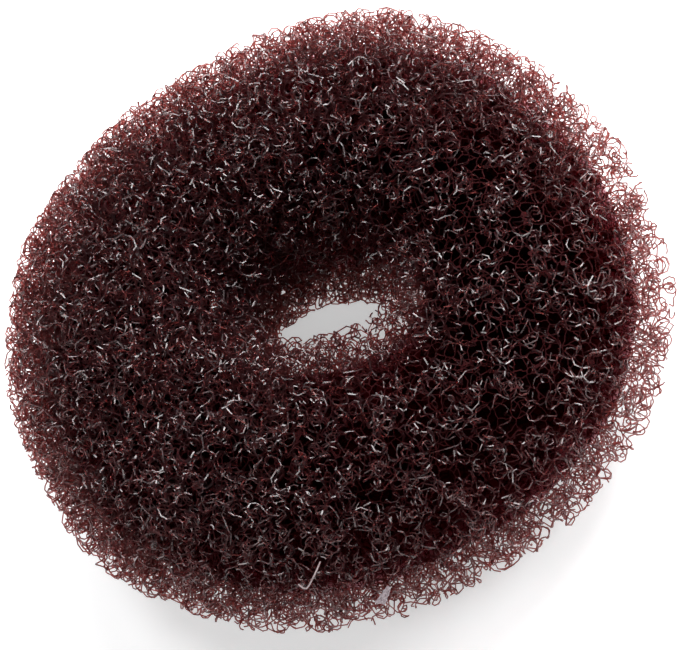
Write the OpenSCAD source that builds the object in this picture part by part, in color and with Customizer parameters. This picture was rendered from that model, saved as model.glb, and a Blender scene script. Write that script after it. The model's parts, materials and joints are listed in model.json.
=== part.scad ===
// Bun maker: a soft ring rolled from curly nylon net, which hair is wrapped around.
// Millimetres, +Z up. The origin is the middle of the flat foot that the ring rests on.

/* [Ring] */
// Width of the ring, across the mean of its outside
ring_d = 90; // [60:1:120]
// Height of the ring, from its foot to the mean height of its crest
ring_h = 33.5; // [24:0.5:48]
// Width of the circle that the crest runs along
crest_d = 47; // [32:1:56]
// Height of the outside's widest line
belly_h = 16; // [8:0.5:22]

/* [Foot] */
// Width of the circle that the ring rests along
foot_d = 48; // [32:1:60]
// How far the net gives where it rests, which makes the foot flat
foot_press = 1.2; // [0.6:0.1:3]

/* [Hole] */
// Width of the hole at its narrowest line
throat_d = 14.5; // [9:0.5:24]
// Height of the hole's narrowest line
throat_h = 14; // [8:0.5:22]

/* [Net] */
// How far the soft lumps of the rolled net stand out
lump_h = 0.5; // [0:0.1:1.2]
// Distance from one lump to the next
lump_gap = 11; // [8:0.5:20]

/* [Hidden] */

// Degrees in a full turn
TURN = 360;
// Facets round the ring and round its section
AROUND = 100;
SECTION = 54;

// The ring is hand rolled, so its form swells and sinks on the way round.
// One row every 30 degrees, counted from +X towards +Y. The columns are shares:
// of half ring_d, of ring_h, of half crest_d and of half throat_d.
LOBES = [
    [0.985, 1.030, 0.91, 0.95],
    [0.990, 1.030, 0.90, 0.90],
    [1.040, 1.020, 0.97, 0.75],
    [0.980, 1.005, 1.00, 0.85],
    [0.990, 0.990, 1.09, 1.10],
    [1.005, 0.975, 1.15, 1.25],
    [0.995, 0.965, 1.12, 1.15],
    [1.015, 0.965, 1.06, 0.90],
    [1.005, 0.980, 0.97, 0.75],
    [0.985, 0.995, 0.91, 0.85],
    [1.005, 1.010, 0.93, 1.00],
    [1.010, 1.030, 0.94, 1.00],
];
REACH = [for (row = LOBES) row[0]];
RISE = [for (row = LOBES) row[1]];
CREST = [for (row = LOBES) row[2]];
THROAT = [for (row = LOBES) row[3]];

// Smooth curve through four values, from the second at f = 0 to the third at f = 1
function blend4(a, b, c, d, f) =
    b + 0.5 * f * (c - a + f * (2 * a - 5 * b + 4 * c - d + f * (3 * (b - c) + d - a)));

// Share at an angle round the ring, from one column of the table
function lobe(shares, angle) =
    let (
        n = len(shares),
        place = angle / TURN * n,
        row = floor(place)
    )
    blend4(
        shares[(row + n - 1) % n],
        shares[row % n],
        shares[(row + 1) % n],
        shares[(row + 2) % n],
        place - row
    );

// Soft lumps: three slow waves that cross each other, each closed round the ring
// and round its section, from -1 to 1
LUMPS_AROUND = round(PI * crest_d / lump_gap);
LUMPS_SECTION = round(PI * (ring_h + (ring_d - throat_d) / 2) / 2 / lump_gap);
function lump(around, t) =
    (sin(LUMPS_AROUND * around + 2 * t)
        + sin(LUMPS_SECTION * t - 3 * around)
        + sin(round(LUMPS_AROUND / 2) * around - round(LUMPS_SECTION / 2) * t)) / 3;

// Point of the skin. around turns round the ring, and t round its section:
// 0 at the outside, 90 at the crest, 180 in the hole and 270 at the foot.
function skin_point(around, t) =
    let (
        outside = ring_d / 2 * lobe(REACH, around),
        throat = throat_d / 2 * lobe(THROAT, around),
        crest = crest_d / 2 * lobe(CREST, around),
        top = ring_h * lobe(RISE, around),
        middle = sin(t) >= 0 ? crest : foot_d / 2,
        widest = cos(t) >= 0 ? outside : throat,
        waist = throat_h + (belly_h - throat_h) * (1 + cos(t)) / 2,
        reach = middle + abs(cos(t)) * (widest - middle),
        height = waist + (sin(t) >= 0 ? top - waist : waist + foot_press) * sin(t),
        swell = lump_h * lump(around, t) * reach / outside,
        rolled = reach + swell * cos(t)
    )
    [rolled * cos(around), rolled * sin(around), max(0, height + swell * sin(t))];

SKIN = [
    for (i = [0 : AROUND - 1])
        for (j = [0 : SECTION - 1])
            skin_point(TURN * i / AROUND, TURN * j / SECTION)
];
XS = [for (p = SKIN) p.x];
YS = [for (p = SKIN) p.y];
MIDDLE = [(max(XS) + min(XS)) / 2, (max(YS) + min(YS)) / 2, 0];

// Number of a skin point, counted on past the last column or row
function at(i, j) = (i % AROUND) * SECTION + j % SECTION;

FACES = [
    for (i = [0 : AROUND - 1])
        for (j = [0 : SECTION - 1])
            for (half = [0, 1])
                half == 0
                    ? [at(i, j), at(i, j + 1), at(i + 1, j + 1)]
                    : [at(i, j), at(i + 1, j + 1), at(i + 1, j)]
];

// The whole ring: one soft roll, with the hole through its middle
module net_ring() {
    color([0.2, 0.09, 0.1])
    translate(-MIDDLE)
    polyhedron(points = SKIN, faces = FACES, convexity = 6);
}

net_ring();
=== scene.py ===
import json
import math

import bpy
import numpy as np
from mathutils import Matrix, Vector
from mathutils.bvhtree import BVHTree

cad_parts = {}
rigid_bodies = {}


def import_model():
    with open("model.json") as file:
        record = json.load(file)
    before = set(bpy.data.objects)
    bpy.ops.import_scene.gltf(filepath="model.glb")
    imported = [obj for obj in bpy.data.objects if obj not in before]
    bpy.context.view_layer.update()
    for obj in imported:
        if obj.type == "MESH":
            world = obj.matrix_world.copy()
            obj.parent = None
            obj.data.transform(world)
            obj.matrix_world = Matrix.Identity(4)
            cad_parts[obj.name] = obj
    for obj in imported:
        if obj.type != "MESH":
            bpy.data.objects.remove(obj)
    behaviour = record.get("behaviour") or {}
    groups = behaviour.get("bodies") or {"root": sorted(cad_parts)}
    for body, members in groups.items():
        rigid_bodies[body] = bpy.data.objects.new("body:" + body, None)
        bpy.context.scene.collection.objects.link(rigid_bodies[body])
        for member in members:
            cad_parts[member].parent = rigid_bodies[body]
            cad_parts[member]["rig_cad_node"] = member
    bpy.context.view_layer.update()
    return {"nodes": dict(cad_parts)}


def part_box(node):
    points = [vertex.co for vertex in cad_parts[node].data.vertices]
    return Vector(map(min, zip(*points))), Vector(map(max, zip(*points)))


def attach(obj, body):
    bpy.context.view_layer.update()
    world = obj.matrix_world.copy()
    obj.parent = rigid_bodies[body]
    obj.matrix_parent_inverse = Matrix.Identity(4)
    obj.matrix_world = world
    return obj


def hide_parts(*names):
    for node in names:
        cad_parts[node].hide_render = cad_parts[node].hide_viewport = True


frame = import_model()
ring = frame["nodes"]["net_ring"]
skin = BVHTree.FromObject(ring, bpy.context.evaluated_depsgraph_get())
bpy.ops.object.select_all(action="DESELECT")


# Camera
# It looks down on the lying ring from the front and is rolled to the left, as the photograph was taken.
PICTURE_PX = (680, 650)
FILM_WIDE = 0.036
CAMERA_RISE = math.radians(55)
CAMERA_ROLL = math.radians(-24.15)
CAMERA_FAR = 0.55
FOCAL_PX = 4120
AIM = Vector((0.0003, 0.0011, 0.012))

camera_turn = Matrix.Rotation(math.radians(90) - CAMERA_RISE, 4, "X") @ Matrix.Rotation(CAMERA_ROLL, 4, "Z")
camera_place = AIM + camera_turn @ Vector((0, 0, CAMERA_FAR))
bpy.ops.object.camera_add(location=camera_place, rotation=camera_turn.to_euler())
camera = bpy.context.object
camera.name = "photo_camera"
camera.data.sensor_width = FILM_WIDE * 1000
camera.data.lens = FOCAL_PX / PICTURE_PX[0] * FILM_WIDE * 1000
camera.data.clip_start = 0.01
bpy.context.scene.camera = camera


# Inner roll
# The inside of the ring is the same net, rolled up on itself until hardly any light comes through. It starts nearly
# three curls deep under the skin, dims and reddens what is seen through it, and its knit shows as fine thread. The
# thread is drawn near black and dull. This is partly the nylon's dark dye and partly painted shade for net that lies
# deep in shade.
ROLL_DEPTH = 0.0048
ROLL_WELD = 0.00001
ROLL_TINT = (0.62, 0.33, 0.37, 1)
ROLL_DIMMING = 560
ROLL_THREAD_DYE_AND_SHADE = (0.03, 0.006, 0.007, 1)
ROLL_THREAD_GLOSS = 0.02
ROLL_THREAD_ROUGH = 0.7
ROLL_THREAD_R = 0.00005
ROLL_MESH_SIZE = 0.0016
ROLL_WANDER = 0.6


class Wire:
    """A socket of a finish. Sums of wires add their Math nodes, and node adds any other kind."""

    def __init__(self, tree, socket=None):
        self.tree = tree
        self.socket = socket

    def node(self, kind, settings, inputs, output=0):
        """One node, set up and wired. Gives the wire of one of its outputs."""
        made = self.tree.nodes.new("ShaderNode" + kind)
        for name, value in settings.items():
            setattr(made, name, value)
        for name, value in inputs.items():
            if isinstance(value, Wire):
                self.tree.links.new(value.socket, made.inputs[name])
            else:
                made.inputs[name].default_value = value
        return Wire(self.tree, made.outputs[output] if made.outputs else None)

    def sum(self, operation, first, second):
        return self.node("Math", {"operation": operation}, {0: first, 1: second})

    def __add__(self, other):
        return self.sum("ADD", self, other)

    def __mul__(self, other):
        return self.sum("MULTIPLY", self, other)

    def __lt__(self, other):
        return self.sum("LESS_THAN", self, other)

    __radd__ = __add__
    __rmul__ = __mul__


def bare_finish(name):
    """A material with no nodes yet, and the wire that adds them."""
    material = bpy.data.materials.new(name)
    material.use_nodes = True
    material.node_tree.nodes.clear()
    return material, Wire(material.node_tree)


roll_finish, wires = bare_finish("rolled_net")
place = wires.node("TexCoord", {}, {}, "Object")
cells = wires.node("VectorMath", {"operation": "SCALE"}, {0: place, "Scale": 1 / ROLL_MESH_SIZE})
wander = wires.node("TexNoise", {}, {"Vector": cells, "Scale": 1}, "Color")
bent = wires.node("VectorMath", {"operation": "SCALE"}, {0: wander, "Scale": ROLL_WANDER})
curly = wires.node("VectorMath", {"operation": "ADD"}, {0: cells, 1: bent})
from_thread = wires.node("TexVoronoi", {"feature": "DISTANCE_TO_EDGE"}, {"Vector": curly, "Scale": 1})
matte = {"Specular IOR Level": ROLL_THREAD_GLOSS, "Roughness": ROLL_THREAD_ROUGH}
# The thread's near-black colour is the dark dye plus painted shade of the deep net under the curls.
thread = wires.node("BsdfPrincipled", {}, {"Base Color": ROLL_THREAD_DYE_AND_SHADE} | matte)
gap = wires.node("BsdfTransparent", {}, {})
on_thread = from_thread < ROLL_THREAD_R / ROLL_MESH_SIZE
surface = wires.node("MixShader", {}, {0: on_thread, 1: gap, 2: thread})
inside = wires.node("VolumeAbsorption", {}, {"Color": ROLL_TINT, "Density": ROLL_DIMMING})
wires.node("OutputMaterial", {}, {"Surface": surface, "Volume": inside})

roll = ring.copy()
roll.data = ring.data.copy()
roll.name = "inner_roll"
roll.parent = None
bpy.context.scene.collection.objects.link(roll)
del roll["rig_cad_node"]
roll.select_set(True)
bpy.context.view_layer.objects.active = roll
bpy.ops.object.mode_set(mode="EDIT")
bpy.ops.mesh.select_all(action="SELECT")
bpy.ops.mesh.remove_doubles(threshold=ROLL_WELD)
bpy.ops.transform.shrink_fatten(value=-ROLL_DEPTH)
bpy.ops.object.mode_set(mode="OBJECT")
bpy.ops.object.shade_smooth()
roll.data.materials.clear()
roll.data.materials.append(roll_finish)
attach(roll, "root")
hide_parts("net_ring")


# Curls
# The net is knitted from crimped nylon filament. Its curls stand up all over the ring as springy fuzz, and the next
# turns of the roll show between them. A strand is a run of curls, and strands fill the outer part of the ring.
FILAMENT_R = 0.00011
FILAMENT_SIDES = 3
CURL_R = 0.00085
CURL_R_SPREAD = 0.18
CURL_STEP = math.radians(50)
STRAND_STEPS = 13
BEND_CHANGE = 0.28
BEND_KEPT = 0.5
COIL_LEAST = 0.25
COIL_MOST = 0.7
COIL_CHANGE = 0.15
KINK_SHARE = 0.04
KINK_LEAST = 1.5
KINK_MOST = 3.1
FUZZ_DEPTH = 0.0055
FUZZ_PROUD = 0.0003
BUNDLES = "abcde"
BUNDLE_TRIANGLES = 150000
LOOSE_SHARE = 0.68
LOOSE_TURN = math.radians(-40)
EVEN_BASE = 1.22074408
EVEN_STEPS = EVEN_BASE ** -np.arange(1.0, 4)
EVEN_JITTER = 0.0006
SETTLE_TIMES = 3
SIDE_START = 0.3
SEED = 40
NYLON_WINE = (0.69, 0.14, 0.13, 1)
NYLON_BROWN = (0.64, 0.15, 0.12, 1)
NYLON_SHADED = (0.03, 0.009, 0.012, 1)
NYLON_ROUGH = 0.28
NYLON_ROUGH_SPREAD = 0.08
NYLON_IOR = 1.1
GLOSS_IOR = 2.0
GLOSS_ROUGH = 0.24
CLEAR_SHARE = 0.6
DYE_PATCH = 0.012
FILAMENT_RUN = 0.002


def unit(vectors):
    """Vectors brought to a length of one."""
    return vectors / (np.linalg.norm(vectors, axis=-1, keepdims=True) + 1e-12)


def turned(vectors, axes, angles):
    """Vectors turned about unit axes."""
    along = np.sum(vectors * axes, 1)[:, None]
    across = np.cross(axes, vectors)
    cosine = np.cos(angles)[:, None]
    return vectors * cosine + across * np.sin(angles)[:, None] + axes * along * (1 - cosine)


def out_of_skin(points):
    """How far each point stands out of the ring's skin, less than 0 inside, and the way straight out there."""
    past = np.zeros(len(points))
    ways = np.zeros((len(points), 3))
    for number, point in enumerate(points):
        nearest, normal, face, far = skin.find_nearest(Vector(point))
        outside = (Vector(point) - nearest).dot(normal) > 0
        past[number] = far if outside else -far
        ways[number] = normal
    return past, ways


def even_places(chance, count):
    """Places spread evenly from the ring's skin down to the fuzz's depth, fewer where it is rolled loosely."""
    low, high = np.array(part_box("net_ring"))
    first = chance.random(3)
    found = np.zeros((0, 3))
    tried = 0
    while len(found) < count:
        numbers = np.arange(tried, tried + count)[:, None]
        tried += count
        tries = low + (high - low) * ((first + numbers * EVEN_STEPS) % 1)
        tries += chance.normal(scale=EVEN_JITTER, size=tries.shape)
        around = np.arctan2(tries[:, 1], tries[:, 0])
        thinned = chance.random(len(tries)) < LOOSE_SHARE * (1 + np.cos(around - LOOSE_TURN)) / 2
        past = out_of_skin(tries)[0]
        found = np.concatenate([found, tries[(past < 0) & (past > -FUZZ_DEPTH) & ~thinned]])
    return found[:count]


def crimped_strands(chance, count):
    """Curling strands about the origin: an array of count by steps points."""
    ahead = unit(chance.normal(size=(count, 3)))
    across = unit(np.cross(ahead, chance.normal(size=(count, 3))))
    axis = np.cross(ahead, across)
    coil = chance.choice([-1, 1], count) * chance.uniform(COIL_LEAST, COIL_MOST, count)
    usual = np.log(CURL_R) + chance.normal(scale=CURL_R_SPREAD, size=count)
    bend = np.zeros(count)
    half_step = np.full(count, CURL_STEP / 2)
    point = np.zeros((count, 3))
    points = []
    for step in range(STRAND_STEPS):
        points.append(point)
        bend = BEND_KEPT * bend + chance.normal(scale=BEND_CHANGE, size=count)
        chord = 2 * np.exp(usual + bend) * math.sin(CURL_STEP / 2)
        point = point + turned(ahead, axis, half_step) * chord[:, None]
        ahead = turned(ahead, axis, 2 * half_step)
        twist = (coil + chance.normal(scale=COIL_CHANGE, size=count)) * CURL_STEP
        kinked = chance.random(count) < KINK_SHARE
        kink = np.where(kinked, chance.uniform(KINK_LEAST, KINK_MOST, count), 0)
        axis = unit(turned(axis, ahead, twist + kink))
    strands = np.stack(points, 1)
    return strands - strands.mean(1, keepdims=True)


def tucked_in(strands, places):
    """Strands at their places, each turned so that its middle bulges out of the ring and its ends point in."""
    count, steps = strands.shape[:2]
    middle = strands[:, steps // 3:steps * 2 // 3].mean(1)
    bulge = unit(middle - (strands[:, 0] + strands[:, -1]) / 2)
    ways = out_of_skin(places)[1]
    axis = np.cross(bulge, ways)
    sine = np.linalg.norm(axis, axis=1)
    angle = np.arctan2(sine, np.sum(bulge * ways, 1))
    axes = np.repeat(axis / (sine[:, None] + 1e-9), steps, 0)
    points = turned(strands.reshape(-1, 3), axes, np.repeat(angle, steps))
    return points.reshape(strands.shape) + places[:, None]


def settled(strands):
    """Strands moved in until none stands out past the fuzz, nor under the table."""
    count, steps = strands.shape[:2]
    rows = np.arange(count)
    allowed = FUZZ_PROUD * rows / count
    for time in range(SETTLE_TIMES):
        past, ways = out_of_skin(strands.reshape(-1, 3))
        past = past.reshape(count, steps)
        worst = np.argmax(past, 1)
        back = np.maximum(past[rows, worst] - allowed, 0)
        strands = strands - (ways.reshape(count, steps, 3)[rows, worst] * back[:, None])[:, None]
    strands[:, :, 2] = np.maximum(strands[:, :, 2], FILAMENT_R)
    return strands


def filament_mesh(name, strands):
    """One mesh of closed tubes along the strands. Their sides stay flat, as the pressed filament's do."""
    count, steps = strands.shape[:2]
    ahead = unit(np.gradient(strands, axis=1))
    side = np.zeros_like(strands)
    side[:, 0] = unit(np.cross(ahead[:, 0], ahead[:, 0][:, [1, 2, 0]] + SIDE_START))
    for step in range(1, steps):
        carried = side[:, step - 1]
        along = np.sum(carried * ahead[:, step], 1)[:, None]
        side[:, step] = unit(carried - ahead[:, step] * along)
    other = np.cross(ahead, side)
    turns = 2 * math.pi * np.arange(FILAMENT_SIDES)[:, None] / FILAMENT_SIDES
    rim = side[:, :, None] * np.cos(turns) + other[:, :, None] * np.sin(turns)
    points = (strands[:, :, None] + rim * FILAMENT_R).reshape(-1, 3)

    corner = np.arange(FILAMENT_SIDES)
    following = (corner + 1) % FILAMENT_SIDES
    rings = (np.arange(count) * steps)[:, None, None] + np.arange(steps - 1)[:, None]
    near = rings * FILAMENT_SIDES
    far = near + FILAMENT_SIDES
    sides = np.stack([near + corner, near + following, far + following, far + corner], -1).reshape(-1, 4)
    first = np.arange(count)[:, None] * steps * FILAMENT_SIDES
    last = first + (steps - 1) * FILAMENT_SIDES
    ends = np.concatenate([first + corner[::-1], last + corner])

    mesh = bpy.data.meshes.new(name)
    mesh.from_pydata(points.tolist(), [], sides.tolist() + ends.tolist())
    mesh.update()
    piece = bpy.data.objects.new(name, mesh)
    bpy.context.scene.collection.objects.link(piece)
    return piece


nylon_finish, wires = bare_finish("crimped_nylon")
place = wires.node("TexCoord", {}, {}, "Object")
patches = wires.node("TexNoise", {}, {"Vector": place, "Scale": 1 / DYE_PATCH})
runs = wires.node("TexNoise", {}, {"Vector": place, "Scale": 1 / FILAMENT_RUN})
dye = wires.node("Mix", {"data_type": "RGBA"}, {0: patches, 6: NYLON_WINE, 7: NYLON_BROWN}, 2)
rough = runs * NYLON_ROUGH_SPREAD + NYLON_ROUGH
body = {"Base Color": dye, "Roughness": rough, "IOR": NYLON_IOR, "Transmission Weight": 1}
clear = wires.node("BsdfPrincipled", {}, body)
gloss = wires.node("BsdfPrincipled", {}, {"Base Color": NYLON_SHADED, "Roughness": GLOSS_ROUGH, "IOR": GLOSS_IOR})
nylon = wires.node("MixShader", {}, {0: CLEAR_SHARE, 1: gloss, 2: clear})
wires.node("OutputMaterial", {}, {"Surface": nylon})

chance = np.random.default_rng(SEED)
strand_triangles = (STRAND_STEPS - 1) * FILAMENT_SIDES * 2 + (FILAMENT_SIDES - 2) * 2
bundle_strands = BUNDLE_TRIANGLES // strand_triangles
strand_places = even_places(chance, bundle_strands * len(BUNDLES))
strands = settled(tucked_in(crimped_strands(chance, len(strand_places)), strand_places))
for number, letter in enumerate(BUNDLES):
    curls = filament_mesh("curls_" + letter, strands[number::len(BUNDLES)])
    curls.data.materials.append(nylon_finish)
    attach(curls, "root")
    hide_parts("net_ring")


# Stray end
# One pale, straight end of filament has come loose low at the front. It lies on the curls and hooks back into them.
STRAY_PX = [(320, 563), (317, 569), (313, 577), (309, 585), (306, 588), (302, 587), (298, 586)]
STRAY_LIFT = [-0.0004, 0.0004, 0.0006, 0.0004, 0.0002, 0.0001, -0.0004]
STRAY_R = 0.00011
STRAY_PALE = (0.42, 0.34, 0.34, 1)
STRAY_DULL = (0.30, 0.23, 0.24, 1)
STRAY_ROUGH = 0.3
STRAY_ROUGH_SPREAD = 0.2


def over_skin(px, lift):
    """The place over the ring's skin that the camera sees at a pixel of the photograph, and the way out there."""
    across = (px[0] - PICTURE_PX[0] / 2) / FOCAL_PX
    up = (PICTURE_PX[1] / 2 - px[1]) / FOCAL_PX
    sight = camera_turn.to_3x3() @ Vector((across, up, -1))
    hit, normal, face, far = skin.ray_cast(camera_place, sight.normalized())
    return hit + normal * lift, normal


bpy.ops.object.select_all(action="DESELECT")
bpy.ops.curve.primitive_nurbs_path_add()
stray = bpy.context.object
stray.name = "stray_end"
stray_line = stray.data.splines[0]
stray_line.points.add(len(STRAY_PX) - len(stray_line.points))
for point, px, lift in zip(stray_line.points, STRAY_PX, STRAY_LIFT):
    point.co = (*over_skin(px, lift)[0], 1)
stray_line.order_u = 3
stray.data.bevel_depth = STRAY_R
stray.data.bevel_resolution = 2
stray.data.use_fill_caps = True
bpy.ops.object.convert(target="MESH")

stray_finish, wires = bare_finish("pale_filament")
place = wires.node("TexCoord", {}, {}, "Object")
runs = wires.node("TexNoise", {}, {"Vector": place, "Scale": 1 / FILAMENT_RUN})
pale = wires.node("Mix", {"data_type": "RGBA"}, {0: runs, 6: STRAY_PALE, 7: STRAY_DULL}, 2)
rough = runs * STRAY_ROUGH_SPREAD + STRAY_ROUGH
strand = wires.node("BsdfPrincipled", {}, {"Base Color": pale, "Roughness": rough})
wires.node("OutputMaterial", {}, {"Surface": strand})
stray.data.materials.append(stray_finish)
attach(stray, "root")


# Film scrap
# A crumpled scrap of thin clear film is caught in the curls near the front edge. Its tone swings at random between
# milky, where the film whitens at folds, and a darker tone that is painted shade for its crumples.
SCRAP_PX = (384, 591)
SCRAP_END_PX = (391, 580)
SCRAP_LONG = 0.0027
SCRAP_WIDE = 0.0010
SCRAP_THICK = 0.00004
SCRAP_LIFT = 0.0002
SCRAP_CRUMPLE = 0.0005
SCRAP_RUFFLE = 0.00025
SCRAP_RUFFLE_SEED = 7
SCRAP_RAISED = 0.35
SCRAP_RAISED_SEED = 3
SCRAP_TAPER = -0.9
SCRAP_MILKY = (0.62, 0.55, 0.58, 1)
SCRAP_PAINTED_SHADE = (0.30, 0.22, 0.25, 1)
SCRAP_FOLD = 0.0005
SCRAP_ROUGH = 0.3
SCRAP_VEIL = 0.25
SCRAP_VEIL_SPREAD = 0.9

scrap_place, scrap_out = over_skin(SCRAP_PX, SCRAP_LIFT)
scrap_along = (over_skin(SCRAP_END_PX, SCRAP_LIFT)[0] - scrap_place).normalized()
scrap_across = scrap_out.cross(scrap_along).normalized()
scrap_up = scrap_along.cross(scrap_across)
scrap_turn = Matrix((scrap_along, scrap_across, scrap_up)).transposed().to_euler()
bpy.ops.object.select_all(action="DESELECT")
bpy.ops.mesh.primitive_grid_add(x_subdivisions=12, y_subdivisions=6, size=1, location=scrap_place, rotation=scrap_turn)
scrap = bpy.context.object
scrap.name = "film_scrap"
bpy.ops.object.mode_set(mode="EDIT")
bpy.ops.mesh.select_all(action="SELECT")
bpy.ops.transform.resize(value=(SCRAP_LONG, SCRAP_WIDE, 1), orient_type="LOCAL")
bpy.ops.transform.vertex_random(offset=SCRAP_RUFFLE, seed=SCRAP_RUFFLE_SEED)
bpy.ops.mesh.select_random(ratio=SCRAP_RAISED, seed=SCRAP_RAISED_SEED)
bpy.ops.transform.translate(value=scrap_out * SCRAP_CRUMPLE)
bpy.ops.object.mode_set(mode="OBJECT")
point = scrap.modifiers.new("point", "SIMPLE_DEFORM")
point.deform_method = "TAPER"
point.deform_axis = "X"
point.factor = SCRAP_TAPER
bpy.ops.object.modifier_apply(modifier="point")
wall = scrap.modifiers.new("wall", "SOLIDIFY")
wall.thickness = SCRAP_THICK
bpy.ops.object.modifier_apply(modifier="wall")
soft = scrap.modifiers.new("soft", "SUBSURF")
soft.levels = 1
soft.render_levels = 1
bpy.ops.object.modifier_apply(modifier="soft")
bpy.ops.object.transform_apply(location=True, rotation=True, scale=True)
bpy.ops.object.shade_smooth()

scrap_finish, wires = bare_finish("clear_film")
place = wires.node("TexCoord", {}, {}, "Object")
milk_and_shade_noise = wires.node("TexNoise", {}, {"Vector": place, "Scale": 1 / SCRAP_FOLD, "Detail": 3})
# The darker tone is painted shade on the crumples. The milky tone is the film whitened at its folds.
milk_and_painted_shade = wires.node("Mix", {"data_type": "RGBA"}, {0: milk_and_shade_noise, 6: SCRAP_PAINTED_SHADE, 7: SCRAP_MILKY}, 2)
film = wires.node("BsdfPrincipled", {}, {"Base Color": milk_and_painted_shade, "Roughness": SCRAP_ROUGH})
gap = wires.node("BsdfTransparent", {}, {})
surface = wires.node("MixShader", {}, {0: milk_and_shade_noise * SCRAP_VEIL_SPREAD + SCRAP_VEIL, 1: gap, 2: film})
wires.node("OutputMaterial", {}, {"Surface": surface})
scrap.data.materials.append(scrap_finish)
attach(scrap, "root")


# Floor
# A smooth white light table, faintly clouded. It glows evenly all over, which shows through the hole and the rims,
# and the softboxes light it until it is blown out.
FLOOR_WIDE = 4
FLOOR_WHITE = (0.74, 0.74, 0.75, 1)
FLOOR_CLOUDED = (0.70, 0.70, 0.705, 1)
FLOOR_CLOUD = 0.03
FLOOR_GLOW = (0.48, 0.48, 0.48, 1)
FLOOR_ROUGH = 0.8

floor_finish, wires = bare_finish("white_table")
place = wires.node("TexCoord", {}, {}, "Object")
clouds = wires.node("TexNoise", {}, {"Vector": place, "Scale": 1 / FLOOR_CLOUD})
whites = wires.node("Mix", {"data_type": "RGBA"}, {0: clouds, 6: FLOOR_WHITE, 7: FLOOR_CLOUDED}, 2)
glow = {"Emission Color": FLOOR_GLOW, "Emission Strength": 1}
table = wires.node("BsdfPrincipled", {}, {"Base Color": whites, "Roughness": FLOOR_ROUGH} | glow)
wires.node("OutputMaterial", {}, {"Surface": table})

bpy.ops.object.select_all(action="DESELECT")
bpy.ops.mesh.primitive_plane_add(size=FLOOR_WIDE)
floor = bpy.context.object
floor.name = "floor"
floor.data.materials.append(floor_finish)


# Light
# Round softboxes all about, each giving the filament glints of its own. The strongest is at the picture's upper right,
# and the front one is weak, so that the far wall of the hole stays dark. Columns: name, stand, width and watts.
LIGHT_AIM = Vector((0, 0, 0.01))
SOFTBOXES = [
    ("key", Vector((0.45, 0.35, 0.6)), 0.5, 9.6),
    ("back_left", Vector((-0.25, 0.3, 0.75)), 0.35, 3.2),
    ("front", Vector((-0.1, -0.5, 0.7)), 0.3, 1.0),
    ("right", Vector((0.7, -0.05, 0.4)), 0.35, 4.8),
    ("behind", Vector((0.1, 0.7, 0.45)), 0.35, 3.6),
    ("left", Vector((-0.65, -0.1, 0.4)), 0.3, 1.5),
]

for name, stand, wide, watts in SOFTBOXES:
    turn = (LIGHT_AIM - stand).to_track_quat("-Z", "Y").to_euler()
    bpy.ops.object.light_add(type="AREA", location=stand, rotation=turn)
    softbox = bpy.context.object
    softbox.name = name
    softbox.data.shape = "DISK"
    softbox.data.size = wide
    softbox.data.energy = watts

world = bpy.data.worlds.new("studio")
bpy.context.scene.world = world
world.use_nodes = True
world.node_tree.nodes["Background"].inputs["Strength"].default_value = 0
bpy.context.scene.cycles.transparent_max_bounces = 16
bpy.context.scene.view_settings.view_transform = "Standard"
